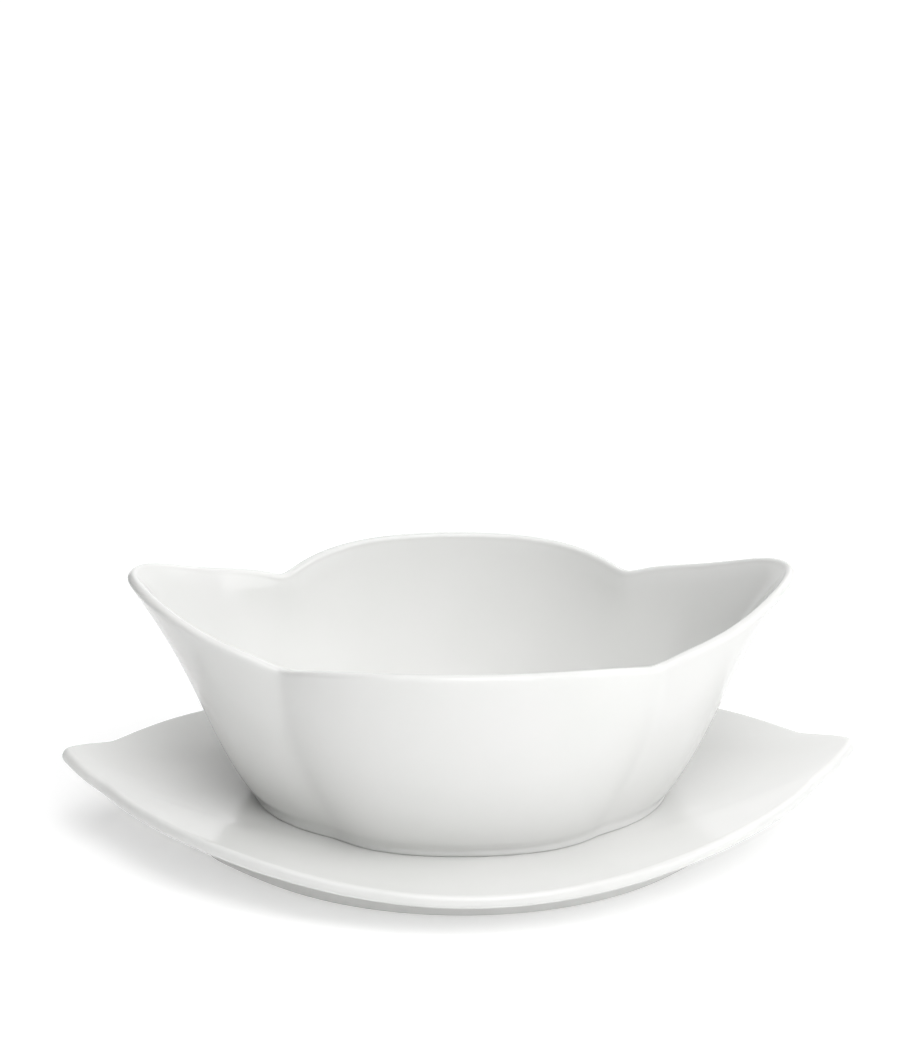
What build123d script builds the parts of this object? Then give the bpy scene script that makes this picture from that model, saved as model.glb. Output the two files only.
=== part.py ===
"""Gravy boat: a lobed porcelain boat with a spout at each end, standing loose on its own saucer.

Two ceramic pieces, each cast in one. Both share one plan: two pointed ends, two broad lobes,
and four creases between them. Millimetres, +Z up. The origin is on the table, under the middle
of the saucer, and X runs from spout to spout.
"""
import os

from build123d import *

# Saucer
SAUCER_LENGTH = 240.0  # point to point
SAUCER_WIDTH = 156.0  # across the two broad lobes
SAUCER_CREASE = (106.5, 16.5)  # plan position of the crease beside each point
SAUCER_END_BULGE = 0.8  # how far the edge from point to crease bows outwards
PLATE_THICKNESS = 4.2
PLATE_REACH = 84.0  # half width of the curved sheet that the outline is cut from
# The sheet is a saddle, high at the points and low at the lobes. At each distance from the
# middle: its height on the centre line, and the height that its arc reaches at PLATE_REACH.
PLATE_STATIONS = [
    (0.0, 12.4, 14.4),
    (32.0, 12.4, 16.5),
    (62.0, 13.0, 22.5),
    (87.0, 16.8, 31.0),
    (107.0, 22.2, 38.0),
    (124.0, 28.0, 44.0),
]
WELL_HEIGHT = 12.5  # flat middle of the saucer, where the boat stands
WELL_CLEARANCE = 1.5  # all round the boat's foot

# Saucer foot ring: two shallow arcs that meet in rounded ends
FOOT_RING_WIDTH = 126.0
FOOT_RING_ARC = 85.0
FOOT_RING_END_RADIUS = 34.0
FOOT_RING_WALL = 5.0
FOOT_RING_TOP = 11.8  # buried in the plate

# Boat, outside of the wall: height above the well, tip, crease x, crease y, lobe
BOAT_LEVELS = [
    (2.0, 66.2, 40.6, 34.6, 51.2),
    (11.0, 72.2, 44.2, 36.3, 55.0),
    (24.0, 78.7, 49.8, 39.5, 59.6),
    (38.0, 83.6, 53.2, 41.6, 62.6),
    (56.0, 92.5, 55.5, 43.0, 64.6),
    (80.0, 104.0, 57.0, 43.8, 65.8),
]
END_BULGE = 6.2  # how far the edge from tip to crease bows outwards
WALL = 3.5
FLOOR = 5.0
FLOOR_INSET = 9.0  # how much the flat of the floor is smaller than the wall beside it

# Boat rim: distance from the middle and height above the table
LOBE_RIM_HEIGHT = 73.5
CREASE_RIM = (55.0, 67.7)
SPOUT_RIM = (81.0, 76.0)
TIP_RIM = (97.5, 85.0)
TIP_NOSE = (100.5, 82.0)  # the rim rounds down to here at the very end of a spout

# Boat foot: a low ring, set in a little from the wall above it
BOAT_FOOT_HEIGHT = 2.0
BOAT_FOOT_INSET = 1.2
BOAT_FOOT_WALL = 4.0

CUT_REACH = 130.0  # half length and height of the bodies used for cutting


def lobed_wire(tip, crease_x, crease_y, lobe, bulge):
    """Draw the shared plan: a point left and right, a broad lobe front and back."""
    chord = Vector(crease_x - tip, crease_y)
    outward = Vector(crease_y, tip - crease_x).normalized()
    bow = Vector(tip, 0) + chord / 2 + outward * bulge
    for side in (1, -1):
        near_crease = (side * crease_x, side * crease_y)
        far_crease = (-side * crease_x, side * crease_y)
        ThreePointArc((side * tip, 0), (side * bow.X, side * bow.Y), near_crease)
        ThreePointArc(near_crease, (0, side * lobe), far_crease)
        ThreePointArc(far_crease, (-side * bow.X, side * bow.Y), (-side * tip, 0))


def inset_level(tip, crease_x, crease_y, lobe, inset):
    """Move the plan inwards by one distance, measured square to the wall at every point."""
    return tip - 1.11 * inset, crease_x - 0.52 * inset, crease_y - 0.88 * inset, lobe - inset


def boat_plan(level, height, inset=0.0):
    """Face of the boat's plan at one of its levels, placed at a height above the well."""
    with BuildSketch(Plane.XY.offset(WELL_HEIGHT + height)) as plan:
        with BuildLine():
            lobed_wire(*inset_level(*level, inset), END_BULGE)
        make_face()
    return plan.sketch


def foot_ring_plan(inset):
    """Pointed oval of the saucer's foot ring, with its two ends rounded."""
    arc_centre = FOOT_RING_ARC - FOOT_RING_WIDTH / 2
    with BuildSketch() as plan:
        with Locations((0, arc_centre)):
            Circle(FOOT_RING_ARC - inset)
        with Locations((0, -arc_centre)):
            Circle(FOOT_RING_ARC - inset, mode=Mode.INTERSECT)
        fillet(plan.vertices(), radius=FOOT_RING_END_RADIUS - inset)
    return plan.sketch


foot_level = BOAT_LEVELS[0][1:]

# ---------------------------------------------------------------- saucer
with BuildPart() as saucer:
    # Curved sheet, wider than the saucer
    left_stations = [(-x, low, high) for x, low, high in reversed(PLATE_STATIONS[1:])]
    for x, low, high in left_stations + PLATE_STATIONS:
        with BuildSketch(Plane.YZ.offset(x)):
            with BuildLine():
                near_top = (-PLATE_REACH, high)
                far_top = (PLATE_REACH, high)
                near_bottom = (-PLATE_REACH, high - PLATE_THICKNESS)
                far_bottom = (PLATE_REACH, high - PLATE_THICKNESS)
                ThreePointArc(near_top, (0, low), far_top)
                Line(far_top, far_bottom)
                ThreePointArc(far_bottom, (0, low - PLATE_THICKNESS), near_bottom)
                Line(near_bottom, near_top)
            make_face()
    loft()
    # Lobed outline
    with BuildSketch():
        with BuildLine():
            lobed_wire(SAUCER_LENGTH / 2, *SAUCER_CREASE, SAUCER_WIDTH / 2, SAUCER_END_BULGE)
        make_face()
    extrude(amount=CUT_REACH, mode=Mode.INTERSECT)
    # Foot ring
    with BuildSketch():
        add(foot_ring_plan(0))
        add(foot_ring_plan(FOOT_RING_WALL), mode=Mode.SUBTRACT)
    extrude(amount=FOOT_RING_TOP)
    # Flat well for the boat's foot
    well = boat_plan(foot_level, 0, BOAT_FOOT_INSET - WELL_CLEARANCE)
    extrude(well, amount=CUT_REACH, mode=Mode.SUBTRACT)

saucer.part.label = "saucer"

# ---------------------------------------------------------------- boat
with BuildPart() as boat:
    # Outside of the wall
    loft([boat_plan(level, height) for height, *level in BOAT_LEVELS])
    # Low foot ring
    extrude(boat_plan(foot_level, 0, BOAT_FOOT_INSET), amount=BOAT_FOOT_HEIGHT)
    foot_hollow = boat_plan(foot_level, 0, BOAT_FOOT_INSET + BOAT_FOOT_WALL)
    extrude(foot_hollow, amount=BOAT_FOOT_HEIGHT, mode=Mode.SUBTRACT)
    # Hollow: a flat floor that turns up into the wall
    floor_height = BOAT_FOOT_HEIGHT + FLOOR
    floor_plan = boat_plan(BOAT_LEVELS[1][1:], floor_height, WALL + FLOOR_INSET)
    wall_plans = [boat_plan(level, height, WALL) for height, *level in BOAT_LEVELS[2:]]
    loft([floor_plan] + wall_plans, mode=Mode.SUBTRACT)
    # Rim: high spouts, a dip at each crease, a gentle rise over each lobe
    with BuildSketch(Plane.XZ):
        with BuildLine():
            ThreePointArc(CREASE_RIM, (0, LOBE_RIM_HEIGHT), (-CREASE_RIM[0], CREASE_RIM[1]))
            for side in (1, -1):
                crease = (side * CREASE_RIM[0], CREASE_RIM[1])
                spout = (side * SPOUT_RIM[0], SPOUT_RIM[1])
                tip = (side * TIP_RIM[0], TIP_RIM[1])
                nose = (side * TIP_NOSE[0], TIP_NOSE[1])
                beyond = (side * CUT_REACH, TIP_NOSE[1])
                ThreePointArc(crease, spout, tip)
                Line(tip, nose)
                Line(nose, beyond)
                Line(beyond, (side * CUT_REACH, CUT_REACH))
            Line((CUT_REACH, CUT_REACH), (-CUT_REACH, CUT_REACH))
        make_face()
    extrude(amount=CUT_REACH, both=True, mode=Mode.SUBTRACT)

boat.part.label = "boat"

os.makedirs("parts", exist_ok=True)
for piece in (saucer.part, boat.part):
    export_step(piece, f"parts/{piece.label}.step")
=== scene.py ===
"""Looks of the gravy boat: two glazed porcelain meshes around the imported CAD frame.

Both pieces are closed shells made row by row. A row is a closed ring of points round the shared
plan: a point left and right, a broad lobe front and back, four creases. Shapes are worked out
in millimetres, in the frame's own axes, and stored in metres. X runs from spout to spout.
"""
import math

import bpy
import numpy as np
from mathutils import Matrix, Vector


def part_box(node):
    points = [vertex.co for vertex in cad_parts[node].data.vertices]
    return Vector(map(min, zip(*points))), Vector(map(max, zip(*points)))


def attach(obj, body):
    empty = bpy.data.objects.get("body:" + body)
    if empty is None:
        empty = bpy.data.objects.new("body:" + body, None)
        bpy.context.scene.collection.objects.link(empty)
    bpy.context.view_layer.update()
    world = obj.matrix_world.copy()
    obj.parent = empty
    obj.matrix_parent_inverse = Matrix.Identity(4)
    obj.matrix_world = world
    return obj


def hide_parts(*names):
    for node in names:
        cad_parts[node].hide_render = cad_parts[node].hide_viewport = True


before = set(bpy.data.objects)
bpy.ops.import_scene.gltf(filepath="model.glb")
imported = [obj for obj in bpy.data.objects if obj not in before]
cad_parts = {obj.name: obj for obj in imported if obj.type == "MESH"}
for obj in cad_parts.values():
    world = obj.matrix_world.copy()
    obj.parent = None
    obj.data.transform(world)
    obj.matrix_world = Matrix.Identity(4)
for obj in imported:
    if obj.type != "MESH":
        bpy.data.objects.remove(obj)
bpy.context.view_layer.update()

MM = 0.001
WELL = (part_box("boat")[0] / MM).z  # height of the saucer's flat well, where the boat stands

# Middle of the boat's wall: sizes at five heights above the well; a smooth curve runs through
WALL_HEIGHTS = (6.0, 12.0, 30.0, 50.0, 72.0)
WALL_POINT = (65.5, 69.2, 77.4, 86.9, 100.0)
WALL_CREASE_X = (39.8, 42.3, 49.7, 53.6, 55.9)
WALL_CREASE_Y = (35.0, 35.9, 38.2, 40.5, 41.7)
WALL_LOBE = (50.5, 53.6, 59.1, 62.5, 63.4)
WALL_BOW = (5.4, 5.6, 6.0, 6.8, 10.6)  # how far the edge from point to crease bows outwards
WALL_SHOULDER = 1.6  # how much fuller than an arc a lobe is beside its creases
POINT_SOFTNESS = 3.4
CREASE_SOFTNESS = (2.9, 1.7)  # at the foot and at the rim

# The same sizes where the wall stands on the saucer, and the height of the cove between
FOOT_SIZES = (62.0, 37.9, 34.4, 48.2, 5.5)
COVE_HEIGHT = 6.0
WALL_START = 0.7  # height above the well of the wall's lowest row
WALL_CROWDING = 1.15  # above 1 the wall's rows stand closer together near the foot

# Middle of the boat's rim: heights above the table at even steps
RIM_BESIDE_POINT = (81.9, 79.4, 74.0, 70.3, 65.4)  # from a point to a crease
RIM_BESIDE_LOBE = (72.3, 72.0, 70.4, 65.4)  # from the middle of a lobe to a crease
RIM_SOFTNESS = 3.2
RIM_RADIUS = 1.85  # half the wall's thickness
RIM_ROLL = 5.0  # height below the rim over which the inside rolls outwards
ROLL_SHARE = 0.25  # share of the half thickness lost to that roll
WALL_SWELL = 0.35  # share by which the wall is thicker at the bottom than at the rim

# Boat floor
FLOOR_HEIGHT = 7.0  # inside floor above the well
FLOOR_START = 0.22  # share of the wall's rows that the floor's curve takes over
FLOOR_CROWDING = 1.6  # above 1 the floor's rows stand closer together beside the wall

# Boat foot: inset from the wall's lowest row and height above the well, from the hollow outwards
BOAT_FOOT = (
    (6.6, 2.2), (5.6, 1.9), (5.1, 1.2), (4.9, 0.5), (4.6, 0.1),
    (4.2, 0.0), (0.75, 0.0), (0.5, 0.03), (0.25, 0.12), (0.08, 0.3),
)

# Saucer: middle of its edge, and the edge of the flat well inside it
PLATE_RADIUS = 1.9  # half the thickness
EDGE_POINT = 119.6
EDGE_CREASE = (106.2, 16.0)
EDGE_LOBE = 77.2
EDGE_BOW = 0.9
EDGE_SOFTNESS = (2.8, 2.6)
EDGE_BESIDE_POINT = (25.4, 24.0, 22.3, 20.8)
EDGE_BESIDE_LOBE = (11.5, 13.8, 17.9, 20.8)
INNER_SOFTNESS = 9.0  # rounding of points and creases where the well starts
WELL_POINT = 68.0
WELL_CREASE = (42.0, 36.0)
WELL_LOBE = 53.0
WELL_BOW = 7.0
WELL_SOFTNESS = 8.0
RISE = 1.75  # power of the curve from the well up to the edge

# Saucer foot ring: where it stands between well and edge, at a point and in the middle of a lobe
RING_SHARE_POINT = 0.23
RING_SHARE_LOBE = 0.43
RING_WALL = 5.0

# Section of that ring: inset from its outside and height above the table, from inside to outside
SAUCER_FOOT = (
    (RING_WALL + 2.0, WELL - 4.0), (RING_WALL + 0.6, WELL - 4.4), (RING_WALL, WELL - 5.6),
    (RING_WALL, 0.8), (RING_WALL - 0.3, 0.2), (RING_WALL - 1.0, 0.0), (1.0, 0.0), (0.3, 0.2),
    (0.0, 0.8), (-0.2, 4.5), (-0.5, 6.5),
)

# Of the rows of a foot, counted from its hollow side, the ones that stand and are bare of glaze
FIRST_BARE, LAST_BARE = 4, 6

EDGE_ROWS = 26
EDGE_SQUARENESS = 0.85  # power of the edge's cross-section: 1 is a half circle, less is squarer
WALL_ROWS = 96
INSIDE_EVEN_ROWS = 18
INSIDE_SOFTNESS = 4.0
FLOOR_ROWS = 32
INNER_ROWS = 16  # of the saucer, from its well to its foot ring
OUTER_ROWS = 80  # and from there to its edge
BOAT_END_COLUMNS = 72
BOAT_LOBE_COLUMNS = 78
SAUCER_END_COLUMNS = 40
SAUCER_LOBE_COLUMNS = 110


# ---------------------------------------------------------------- rows of points
def arc_point(ax, ay, bx, by, bow, share):
    """Point a share of the way along the circular arc from a to b that bows out to the right."""
    dx, dy = bx - ax, by - ay
    chord = np.hypot(dx, dy)
    radius = (chord**2 / 4 + bow**2) / (2 * bow)
    angle = np.arcsin(chord / (2 * radius)) * (2 * share - 1)
    along = radius * np.sin(angle)
    out = radius * np.cos(angle) - radius + bow
    x = (ax + bx) / 2 + (along * dx + out * dy) / chord
    y = (ay + by) / 2 + (along * dy - out * dx) / chord
    return x, y


def through(places, sizes, where):
    """The polynomial that runs through all the given sizes."""
    return np.polyval(np.polyfit(places, sizes, len(places) - 1), where)


class Plan:
    """The columns of a shell: so many beside each point and beside each half lobe, per quarter."""

    def __init__(self, end, lobe):
        quarter = end + lobe
        column = np.arange(4 * quarter)
        half = column % (2 * quarter)
        step = np.minimum(half, 2 * quarter - half)
        self.beside_point = step <= end
        self.end = np.clip(step / end, 0, 1)
        self.lobe = np.clip((step - end) / lobe, 0, 1)
        self.side_x = np.where((column <= quarter) | (column > 3 * quarter), 1, -1)
        self.side_y = np.where(column < 2 * quarter, 1, -1)

    def outline(self, point, crease_x, crease_y, lobe, bow, shoulder):
        """Plan position of every column. The sizes may be numbers or arrays of rows by columns."""
        end_x, end_y = arc_point(point, 0, crease_x, crease_y, bow, self.end)
        sagitta = lobe - crease_y
        lobe_x, lobe_y = arc_point(crease_x, crease_y, -crease_x, crease_y, sagitta, self.lobe / 2)
        from_middle = (1 - self.lobe) ** 2
        lobe_y = lobe_y + shoulder * 4 * from_middle * (1 - from_middle)
        x = np.where(self.beside_point, end_x, lobe_x) * self.side_x
        y = np.where(self.beside_point, end_y, lobe_y) * self.side_y
        return x, y

    def edge_height(self, beside_point, beside_lobe):
        """Height of every column from evenly spaced heights: point to crease, lobe to crease."""
        end = through(np.linspace(0, 1, len(beside_point)), beside_point, self.end)
        places = np.linspace(0, 1, len(beside_lobe)) ** 2
        lobe = through(places, beside_lobe, (1 - self.lobe) ** 2)
        return np.where(self.beside_point, end, lobe)

    def soften(self, rows, point_spread, crease_spread):
        """Round the points and the creases, each by its own width in millimetres."""
        near_crease = self.end**2 * (3 - 2 * self.end)
        weight = near_crease[:, None]
        return average(rows, point_spread) * (1 - weight) + average(rows, crease_spread) * weight


def average(rows, spread):
    """Gaussian average along each closed row, `spread` millimetres wide."""
    count = rows.shape[1]
    step = np.linalg.norm(np.roll(rows, -1, axis=1) - rows, axis=2).mean(axis=1)
    wave = np.fft.rfftfreq(count)
    keep = np.exp(-2 * (math.pi * wave * (spread / step)[:, None]) ** 2)
    return np.fft.irfft(np.fft.rfft(rows, axis=1) * keep[..., None], count, axis=1)


def unit(vectors):
    return vectors / np.linalg.norm(vectors, axis=-1, keepdims=True)


def normals(rows):
    """Unit normals of rows that climb the outside of a shell, pointing out."""
    around = np.roll(rows, -1, axis=1) - np.roll(rows, 1, axis=1)
    return unit(np.cross(around, np.gradient(rows, axis=0)))


def plan_normals(ring):
    """Level normals of one ring, pointing out."""
    around = np.roll(ring, -1, axis=0) - np.roll(ring, 1, axis=0)
    return unit(np.column_stack([around[:, 1], -around[:, 0], np.zeros(len(ring))]))


def level_rows(ring, steps, base=0.0):
    """Copies of a ring moved inwards and set at a height above the base: (inset, height) each."""
    out = plan_normals(ring)
    rows = []
    for inset, height in steps:
        row = ring - out * inset
        row[:, 2] = base + height
        rows.append(row)
    return np.array(rows)


def shrink_rows(ring, shares):
    """Copies of a ring drawn in towards its middle."""
    middle = np.array([0.0, 0.0, ring[:, 2].mean()])
    return np.array([middle + (ring - middle) * share for share in shares])


def stack(*groups):
    return np.concatenate([np.reshape(group, (-1,) + group.shape[-2:]) for group in groups])


def shell(name, rows, foot):
    """A closed mesh from the rows, with a pole at each end. `foot` is the foot's first row."""
    count, columns = rows.shape[:2]
    poles = [rows[0].mean(axis=0), rows[-1].mean(axis=0)]
    points = np.vstack([rows.reshape(-1, 3), poles]) * MM
    here = np.arange(columns)
    beyond = (here + 1) % columns
    bands = []
    for row in range(count - 1):
        low, high = row * columns, (row + 1) * columns
        bands.append(np.column_stack([low + here, low + beyond, high + beyond, high + here]))
    faces = np.vstack(bands).tolist()
    first_pole, last_pole = count * columns, count * columns + 1
    last = (count - 1) * columns
    faces += [[first_pole, int(b), int(a)] for a, b in zip(here, beyond)]
    faces += [[last_pole, int(last + a), int(last + b)] for a, b in zip(here, beyond)]
    mesh = bpy.data.meshes.new(name)
    mesh.from_pydata(points.tolist(), [], faces)
    slots = np.zeros(len(faces), np.int32)
    slots[(foot + FIRST_BARE) * columns:(foot + LAST_BARE + 1) * columns] = 1
    mesh.polygons.foreach_set("material_index", slots)
    mesh.polygons.foreach_set("use_smooth", np.ones(len(faces), bool))
    mesh.update()
    piece = bpy.data.objects.new(name, mesh)
    bpy.context.scene.collection.objects.link(piece)
    return piece


# ---------------------------------------------------------------- boat
def skins(core, radius, inner_share=1.0):
    """Outer skin, rounded edge, inner skin and outward normals round the middle of a wall."""
    out = normals(core)
    outer = core + out * radius
    inner = core - out * radius * inner_share
    last = core[-1]
    around = unit(np.roll(last, -1, axis=0) - np.roll(last, 1, axis=0))
    beyond = unit(np.cross(out[-1], around))
    turn = np.linspace(0, math.pi, EDGE_ROWS)[1:-1, None, None]
    across = np.sign(np.cos(turn)) * np.abs(np.cos(turn)) ** EDGE_SQUARENESS
    across = np.where(across < 0, across * np.min(inner_share), across)
    along = np.sin(turn) ** EDGE_SQUARENESS
    edge = last + radius * (across * out[-1] + along * beyond)
    return outer, edge, inner, out


def wall_outline(plan, height):
    """Plan of the middle of the boat's wall at heights above the well."""
    share = np.clip(height / COVE_HEIGHT, 0, 1)
    above = share**2 * (3 - 2 * share)
    sizes = []
    for wall, foot in zip((WALL_POINT, WALL_CREASE_X, WALL_CREASE_Y, WALL_LOBE, WALL_BOW), FOOT_SIZES):
        sizes.append(foot + (through(WALL_HEIGHTS, wall, height) - foot) * above)
    return plan.outline(*sizes, WALL_SHOULDER)


def boat_wall(plan):
    """Middle of the wall from foot to rim, each row's climb, and where the inside rolls out."""
    rim = plan.edge_height(RIM_BESIDE_POINT, RIM_BESIDE_LOBE)
    rim_ring = np.stack([*wall_outline(plan, rim - WELL), rim], axis=1)[None]
    rim = plan.soften(rim_ring, RIM_SOFTNESS, RIM_SOFTNESS)[0, :, 2]
    climb = np.linspace(0, 1, WALL_ROWS)[:, None] ** WALL_CROWDING
    bottom = WELL + WALL_START
    height = bottom + (rim - bottom) * climb
    x, y = wall_outline(plan, height - WELL)
    crease_softness = through((0, 1), CREASE_SOFTNESS, climb[:, 0])
    core = plan.soften(np.stack([x, y, height], axis=2), POINT_SOFTNESS, crease_softness)
    roll = np.clip(1 - (rim - height) / RIM_ROLL, 0, 1)
    return core, climb[..., None], roll[..., None]


def boat_inside(plan, inner, out, climb):
    """Inside of the wall, thicker lower down, from the rim to where the floor starts."""
    thicker = 2 * RIM_RADIUS * WALL_SWELL * (1 - climb)
    inside = (inner - out * thicker)[::-1][: int(WALL_ROWS * (1 - FLOOR_START))]
    # The glaze evens the creases out below the rim
    deep = np.clip(np.arange(len(inside)) / INSIDE_EVEN_ROWS, 0, 1)[:, None, None]
    return inside + (plan.soften(inside, 1.0, INSIDE_SOFTNESS) - inside) * deep


def boat_floor(inside):
    """Floor: level in the middle, turning up into the wall at the wall's own slope."""
    before, start = inside[-2:]
    floor = WELL + FLOOR_HEIGHT
    reach = np.hypot(start[:, 0], start[:, 1])
    slope = (before[:, 2] - start[:, 2]) / (np.hypot(before[:, 0], before[:, 1]) - reach)
    power = slope * reach / (start[:, 2] - floor)
    share = 1 - np.linspace(0, 1, FLOOR_ROWS)[1:-1, None] ** FLOOR_CROWDING
    height = floor + (start[:, 2] - floor) * share**power
    return np.stack([start[:, 0] * share, start[:, 1] * share, height], axis=2)


def make_boat():
    plan = Plan(BOAT_END_COLUMNS, BOAT_LOBE_COLUMNS)
    core, climb, roll = boat_wall(plan)
    outer, edge, inner, out = skins(core, RIM_RADIUS, 1 - ROLL_SHARE * roll**2)
    inside = boat_inside(plan, inner, out, climb)
    foot = level_rows(outer[0], BOAT_FOOT, WELL)
    underside = shrink_rows(foot[0], (0.2, 0.4, 0.6, 0.8, 0.92))
    rows = stack(underside, foot, outer, edge, inside, boat_floor(inside))
    return shell("boat_porcelain", rows, len(underside))


# ---------------------------------------------------------------- saucer
def saucer_lines(plan):
    """The line round the edge of the saucer and the line round its flat well."""
    x, y = plan.outline(EDGE_POINT, *EDGE_CREASE, EDGE_LOBE, EDGE_BOW, 0)
    height = plan.edge_height(EDGE_BESIDE_POINT, EDGE_BESIDE_LOBE)
    edge_line = plan.soften(np.stack([x, y, height], axis=1)[None], *EDGE_SOFTNESS)[0]
    x, y = plan.outline(WELL_POINT, *WELL_CREASE, WELL_LOBE, WELL_BOW, 0)
    well_line = np.stack([x, y, np.full_like(x, WELL - PLATE_RADIUS)], axis=1)
    well_line = average(well_line[None], WELL_SOFTNESS)[0]
    return edge_line, well_line


def saucer_plate(plan):
    """Middle of the plate from the well out to the edge, and how many rows lie inside the foot."""
    edge_line, well_line = saucer_lines(plan)
    share = np.where(plan.beside_point, 0.75 * plan.end, 0.75 + 0.25 * plan.lobe)
    meet = RING_SHARE_POINT + (RING_SHARE_LOBE - RING_SHARE_POINT) * share * (2 - share)
    inner_band = np.linspace(0, 1, INNER_ROWS)[:-1, None] * meet
    outer_share = 1 - (1 - np.linspace(0, 1, OUTER_ROWS)[:, None]) ** 1.6
    outer_band = meet + (1 - meet) * outer_share
    climb = np.vstack([inner_band, outer_band])[..., None]
    core = well_line + (edge_line - well_line) * climb
    core[..., 2] = (well_line + (edge_line - well_line) * climb**RISE)[..., 2]
    softness = INNER_SOFTNESS * (1 - climb.mean(axis=1)[:, 0])
    return plan.soften(core, softness, softness), len(inner_band)


def make_saucer():
    plan = Plan(SAUCER_END_COLUMNS, SAUCER_LOBE_COLUMNS)
    core, inside_foot = saucer_plate(plan)
    outer, edge, inner, _ = skins(core, PLATE_RADIUS)
    flat = shrink_rows(inner[0], np.linspace(1, 0, 12)[1:-1])
    flat[..., 2] = WELL
    foot = level_rows(outer[inside_foot], SAUCER_FOOT)
    middle = shrink_rows(foot[0], np.linspace(0.1, 1, 10)[:-1])
    under = outer[inside_foot + 2:]
    rows = stack(middle, foot, under, edge, inner[::-1], flat)
    return shell("saucer_porcelain", rows, len(middle))


# ---------------------------------------------------------------- materials
def new_material(name):
    material = bpy.data.materials.new(name)
    material.use_nodes = True
    tree = material.node_tree
    return material, tree, tree.nodes["Principled BSDF"]


def object_place(tree):
    return tree.nodes.new("ShaderNodeTexCoord").outputs["Object"]


def noise(tree, place, scale, detail):
    node = tree.nodes.new("ShaderNodeTexNoise")
    node.inputs["Scale"].default_value = scale
    node.inputs["Detail"].default_value = detail
    tree.links.new(place, node.inputs["Vector"])
    return node.outputs["Fac"]


def tint(tree, shader, value, low, high):
    """Base colour between two stops, each a position and a colour."""
    node = tree.nodes.new("ShaderNodeValToRGB")
    for stop, (position, colour) in zip(node.color_ramp.elements, (low, high)):
        stop.position = position
        stop.color = (*colour, 1)
    tree.links.new(value, node.inputs["Fac"])
    tree.links.new(node.outputs["Color"], shader.inputs["Base Color"])


def bump(tree, shader, height, strength, distance):
    node = tree.nodes.new("ShaderNodeBump")
    node.inputs["Strength"].default_value = strength
    node.inputs["Distance"].default_value = distance
    tree.links.new(height, node.inputs["Height"])
    tree.links.new(node.outputs["Normal"], shader.inputs["Normal"])


def glaze(name):
    """Clear gloss glaze over white porcelain, with the faint unevenness of a fired surface."""
    material, tree, shader = new_material(name)
    shader.inputs["IOR"].default_value = 1.5
    place = object_place(tree)
    pools = noise(tree, place, 28, 3)
    tint(tree, shader, pools, (0.3, (0.755, 0.76, 0.745)), (0.7, (0.775, 0.775, 0.765)))
    gloss = tree.nodes.new("ShaderNodeMapRange")
    gloss.inputs["To Min"].default_value = 0.10
    gloss.inputs["To Max"].default_value = 0.17
    tree.links.new(pools, gloss.inputs["Value"])
    tree.links.new(gloss.outputs["Result"], shader.inputs["Roughness"])
    bump(tree, shader, noise(tree, place, 260, 2), 0.25, 0.00004)
    return material


def biscuit():
    """Bare fired clay on the standing edge of a foot: matt, slightly warm, fine grained."""
    material, tree, shader = new_material("bare_clay")
    shader.inputs["Roughness"].default_value = 0.8
    grain = noise(tree, object_place(tree), 1800, 4)
    tint(tree, shader, grain, (0, (0.62, 0.60, 0.56)), (1, (0.74, 0.72, 0.68)))
    bump(tree, shader, grain, 0.5, 0.00005)
    return material


# ---------------------------------------------------------------- studio
# Painted light: the table glows, with a painted shade round the object where the glow is weaker
FLOOR_GLOW = 0.70
GLOW_NEAR = (0.2, 0.43)  # within this distance of the object only this share of the glow
GLOW_FAR = 0.7  # beyond this distance all of it

LIGHT_AIM = (0, 0, 0.04)
LIGHT_SIZE = 1.2
LIGHTS = (
    ("key", (0.4, -0.9, 1.5), 9.6),
    ("front", (0.2, -1.5, 1.1), 7.0),
    ("right", (1.4, -0.6, 0.9), 8.7),
    ("behind", (0.9, 0.9, 1.2), 3.6),
    ("left", (-0.5, -1.0, 1.4), 1.8),
    ("overhead", (-0.1, -0.4, 1.7), 9.4),
)

SKY_ALL_ROUND = 0.1
SKY_FROM_ABOVE = 0.05
SKY_FROM_BEHIND = 0.88

CAMERA_PITCH, CAMERA_TURN, CAMERA_ROLL = (math.radians(angle) for angle in (18.03, 3.5, -0.62))
CAMERA_DISTANCE = 0.862
CAMERA_DROP = -0.0929
CAMERA_SLIDE = 0.0009
CAMERA_LENS = 96.2


def make_floor():
    """A matt white table whose glow is painted light: weaker near the object, so the floor round it is
    darker, and full away from it, so it fades to plain white.
    """
    bpy.ops.mesh.primitive_plane_add(size=12)
    floor = bpy.context.object
    floor.name = "studio_floor"
    material, tree, shader = new_material("white_table")
    shader.inputs["Base Color"].default_value = (0.8, 0.8, 0.8, 1)
    shader.inputs["Roughness"].default_value = 0.9
    shader.inputs["Specular IOR Level"].default_value = 0.0
    shader.inputs["Emission Strength"].default_value = FLOOR_GLOW
    reach = tree.nodes.new("ShaderNodeVectorMath")
    reach.operation = "LENGTH"
    tree.links.new(object_place(tree), reach.inputs[0])
    fade = tree.nodes.new("ShaderNodeMapRange")
    fade.interpolation_type = "SMOOTHSTEP"
    fade.inputs["From Min"].default_value, fade.inputs["To Min"].default_value = GLOW_NEAR
    fade.inputs["From Max"].default_value = GLOW_FAR
    tree.links.new(reach.outputs["Value"], fade.inputs["Value"])
    tree.links.new(fade.outputs["Result"], shader.inputs["Emission Color"])
    floor.data.materials.append(material)


def make_card():
    """A black card out of the picture on the left. It casts no shadow but dims that side."""
    bpy.ops.mesh.primitive_plane_add(size=1, location=(-0.28, 0, 0.19), rotation=(0, math.pi / 2, 0))
    card = bpy.context.object
    card.name = "black_card"
    card.scale = (0.3, 0.8, 1)
    card.visible_camera = False
    card.visible_shadow = False
    material, _, shader = new_material("black_card")
    shader.inputs["Base Color"].default_value = (0.02, 0.02, 0.02, 1)
    shader.inputs["Specular IOR Level"].default_value = 0.0
    card.data.materials.append(material)


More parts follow.
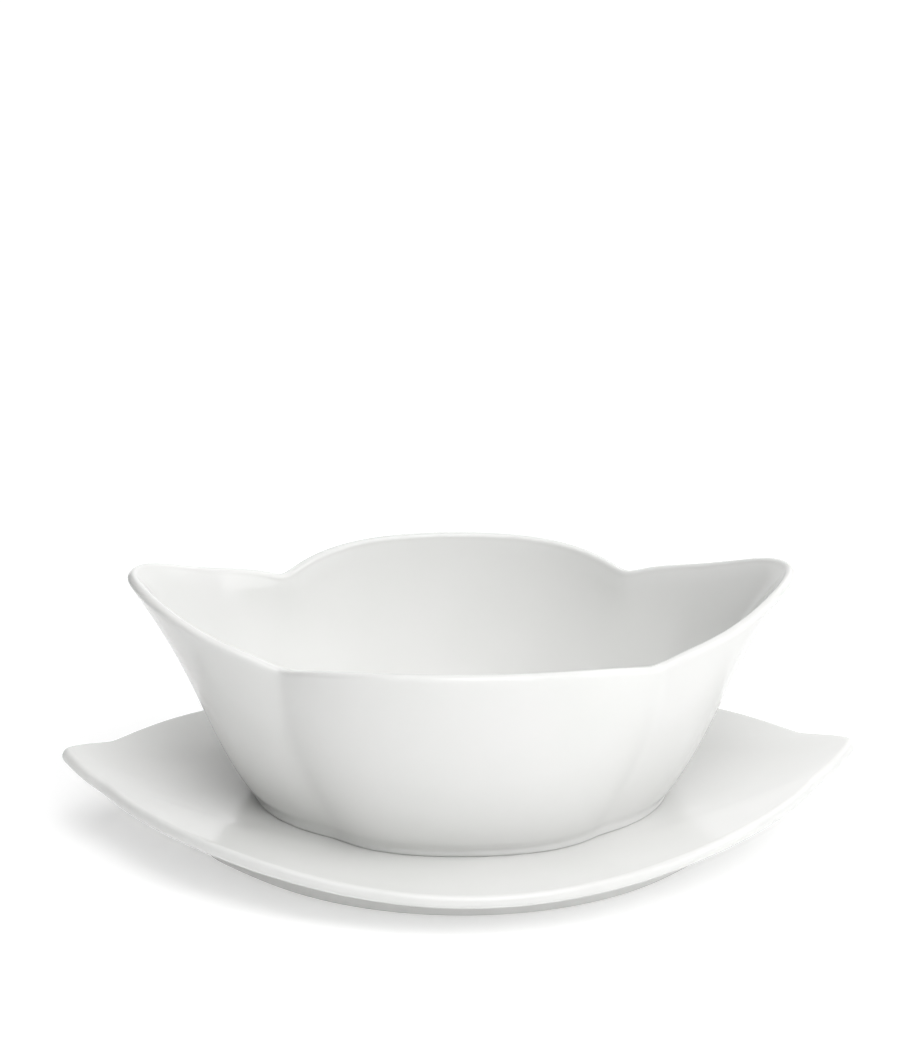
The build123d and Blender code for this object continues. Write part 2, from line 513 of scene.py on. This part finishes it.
def make_light(name, location, power):
    data = bpy.data.lights.new(name, "AREA")
    data.size = LIGHT_SIZE
    data.energy = power
    light = bpy.data.objects.new(name, data)
    light.location = location
    light.rotation_euler = (Vector(LIGHT_AIM) - Vector(location)).to_track_quat("-Z", "Y").to_euler()
    light.visible_camera = False
    bpy.context.scene.collection.objects.link(light)


def make_world():
    """A dim sky all round, brighter behind the table and a little brighter above it."""
    world = bpy.data.worlds.new("white_studio")
    world.use_nodes = True
    nodes, links = world.node_tree.nodes, world.node_tree.links
    nodes["Background"].inputs["Color"].default_value = (1, 1, 1, 1)
    direction = nodes.new("ShaderNodeSeparateXYZ")
    links.new(nodes.new("ShaderNodeTexCoord").outputs["Generated"], direction.inputs["Vector"])
    strength = None
    for axis, amount in (("Z", SKY_FROM_ABOVE), ("Y", SKY_FROM_BEHIND)):
        half = nodes.new("ShaderNodeMath")
        half.operation = "MAXIMUM"
        half.inputs[1].default_value = 0
        links.new(direction.outputs[axis], half.inputs[0])
        add = nodes.new("ShaderNodeMath")
        add.operation = "MULTIPLY_ADD"
        add.inputs[1].default_value = amount
        add.inputs[2].default_value = SKY_ALL_ROUND
        links.new(half.outputs["Value"], add.inputs[0])
        if strength:
            links.new(strength, add.inputs[2])
        strength = add.outputs["Value"]
    links.new(strength, nodes["Background"].inputs["Strength"])
    bpy.context.scene.world = world


def make_camera():
    """The photographer's place: a little to the right of square on, looking down on the set."""
    forward = Vector((0, math.cos(CAMERA_PITCH), -math.sin(CAMERA_PITCH)))
    up = Vector((0, math.sin(CAMERA_PITCH), math.cos(CAMERA_PITCH)))
    right = Vector((1, 0, 0))
    place = -CAMERA_DISTANCE * forward - CAMERA_DROP * up - CAMERA_SLIDE * right
    rolled_right = right * math.cos(CAMERA_ROLL) - up * math.sin(CAMERA_ROLL)
    rolled_up = right * math.sin(CAMERA_ROLL) + up * math.cos(CAMERA_ROLL)
    axes = Matrix((rolled_right, rolled_up, -forward)).transposed()
    spin = Matrix.Rotation(-CAMERA_TURN, 3, "Z")
    data = bpy.data.cameras.new("camera")
    data.sensor_width = 36
    data.lens = CAMERA_LENS
    data.clip_end = 50
    camera = bpy.data.objects.new("camera", data)
    camera.matrix_world = Matrix.Translation(spin @ place) @ (spin @ axes).to_4x4()
    bpy.context.scene.collection.objects.link(camera)
    bpy.context.scene.camera = camera


boat_glaze = glaze("boat_glaze")
saucer_glaze = glaze("saucer_glaze")
bare_clay = biscuit()
for node, make, skin in (("boat", make_boat, boat_glaze), ("saucer", make_saucer, saucer_glaze)):
    piece = make()
    piece.data.materials.append(skin)
    piece.data.materials.append(bare_clay)
    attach(piece, node)
    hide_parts(node)

make_floor()
make_world()
for name, location, power in LIGHTS:
    make_light(name, location, power)
make_card()
make_camera()
bpy.context.scene.view_settings.view_transform = "Standard"
